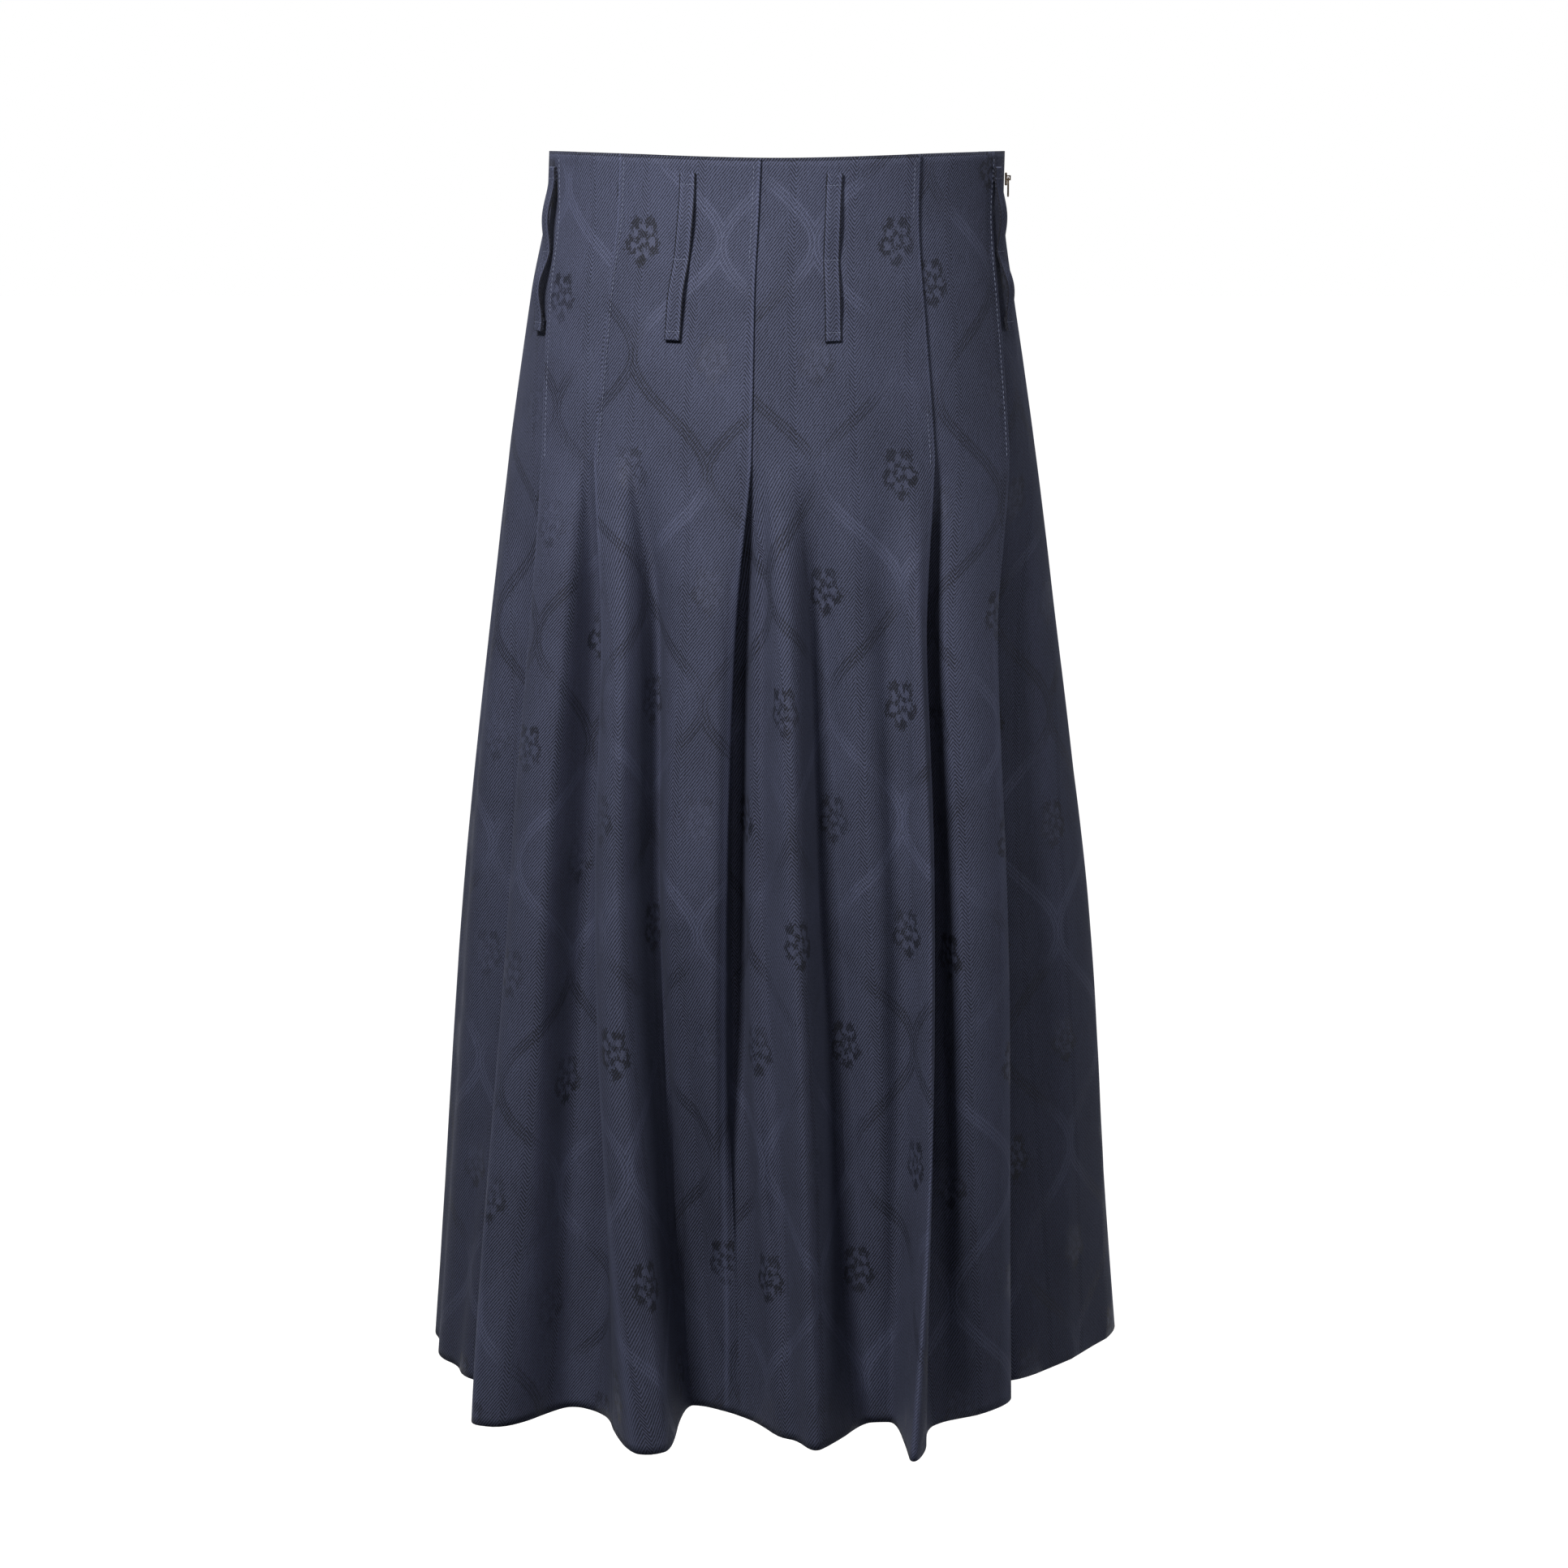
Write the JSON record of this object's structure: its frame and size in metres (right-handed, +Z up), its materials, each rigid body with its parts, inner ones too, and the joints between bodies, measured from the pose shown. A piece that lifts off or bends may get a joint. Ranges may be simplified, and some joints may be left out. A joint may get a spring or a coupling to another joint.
{
  "type": "kilt skirt",
  "caption": "Long flared kilt skirt with knife pleats stitched down to the hip, belt loops at a plain waist and a side zip pull.",
  "frame": {"origin": "middle of the waist opening, level with the waist line at the sides", "axes": "+Z up, -Y to the front of the skirt, +X to the wearer's left"},
  "size_m": [0.4608, 0.5004, 0.7873],
  "materials": {
    "skirt_cloth": "matte heavy wool twill in navy with a tone-on-tone woven trellis and rosettes",
    "zip_metal": "dark bronze, worn to bright metal at the top bar"
  },
  "bodies": {
    "skirt": {"front_side_right": "skirt_cloth", "front_centre_right": "skirt_cloth", "front_centre_left": "skirt_cloth", "front_side_left": "skirt_cloth", "back_side_left": "skirt_cloth", "back_centre_left": "skirt_cloth", "back_centre_right": "skirt_cloth", "back_side_right": "skirt_cloth", "belt_loop_front_right": "skirt_cloth", "belt_loop_front_left": "skirt_cloth", "belt_loop_side_left": "skirt_cloth", "belt_loop_back_left": "skirt_cloth", "belt_loop_back_right": "skirt_cloth", "belt_loop_side_right": "skirt_cloth", "side_zip_slider": "zip_metal"},
    "zip_pull": {"side_zip_pull": "zip_metal"}
  },
  "joints": [
    {"name": "zip_pull_hinge", "type": "hinge", "parent": "skirt", "child": "zip_pull", "pos_m": [0.14826, 0, -0.017], "axis": [0, -1, 0], "range_deg": [0, 170]}
  ]
}
